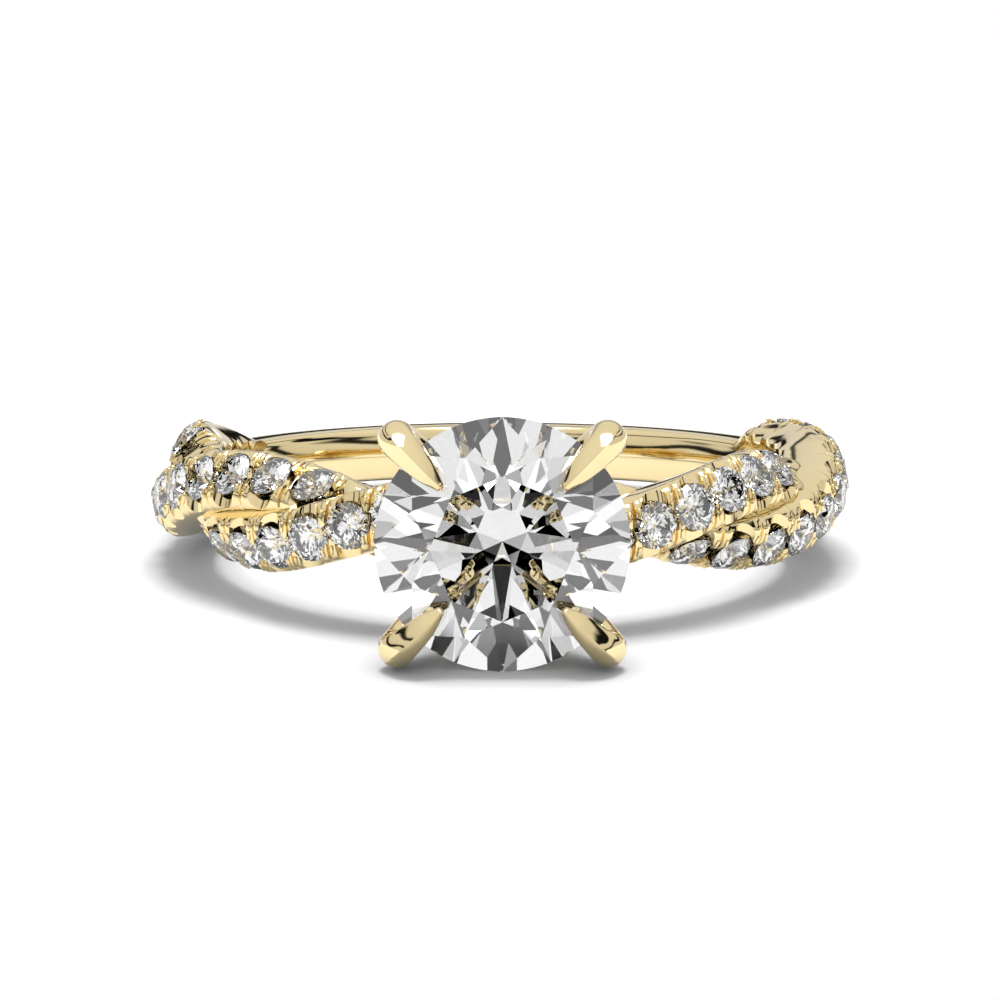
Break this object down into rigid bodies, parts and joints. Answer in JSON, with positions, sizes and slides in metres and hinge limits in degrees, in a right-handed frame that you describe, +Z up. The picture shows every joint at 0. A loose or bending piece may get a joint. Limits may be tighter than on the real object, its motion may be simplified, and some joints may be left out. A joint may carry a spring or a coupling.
{
  "type": "twisted shank ring",
  "caption": "Gold finger ring whose band is two strands twisted round each other, set with small stones, and a large round stone in a claw head.",
  "frame": {"origin": "on the floor under the middle of the ring's box, as it lies on its side", "axes": "Z up, X across the ring from side to side, -Y towards the large stone"},
  "size_m": [0.021, 0.0248, 0.0074],
  "materials": {
    "gold": "polished",
    "diamond": "faceted"
  },
  "bodies": {
    "root": {"ring_body": "gold", "centre_stone": "diamond", "small_stone_01": "diamond", "small_stone_02": "diamond", "small_stone_03": "diamond", "small_stone_04": "diamond", "small_stone_05": "diamond", "small_stone_06": "diamond", "small_stone_07": "diamond", "small_stone_08": "diamond", "small_stone_09": "diamond", "small_stone_10": "diamond", "small_stone_11": "diamond", "small_stone_12": "diamond", "small_stone_13": "diamond", "small_stone_14": "diamond", "small_stone_15": "diamond", "small_stone_16": "diamond", "small_stone_17": "diamond", "small_stone_18": "diamond", "small_stone_19": "diamond", "small_stone_20": "diamond", "small_stone_21": "diamond", "small_stone_22": "diamond", "small_stone_23": "diamond", "small_stone_24": "diamond", "small_stone_25": "diamond", "small_stone_26": "diamond", "small_stone_27": "diamond", "small_stone_28": "diamond", "small_stone_29": "diamond", "small_stone_30": "diamond", "small_stone_31": "diamond", "small_stone_32": "diamond", "small_stone_33": "diamond", "small_stone_34": "diamond", "small_stone_35": "diamond", "small_stone_36": "diamond", "small_stone_37": "diamond", "small_stone_38": "diamond"}
  },
  "joints": []
}
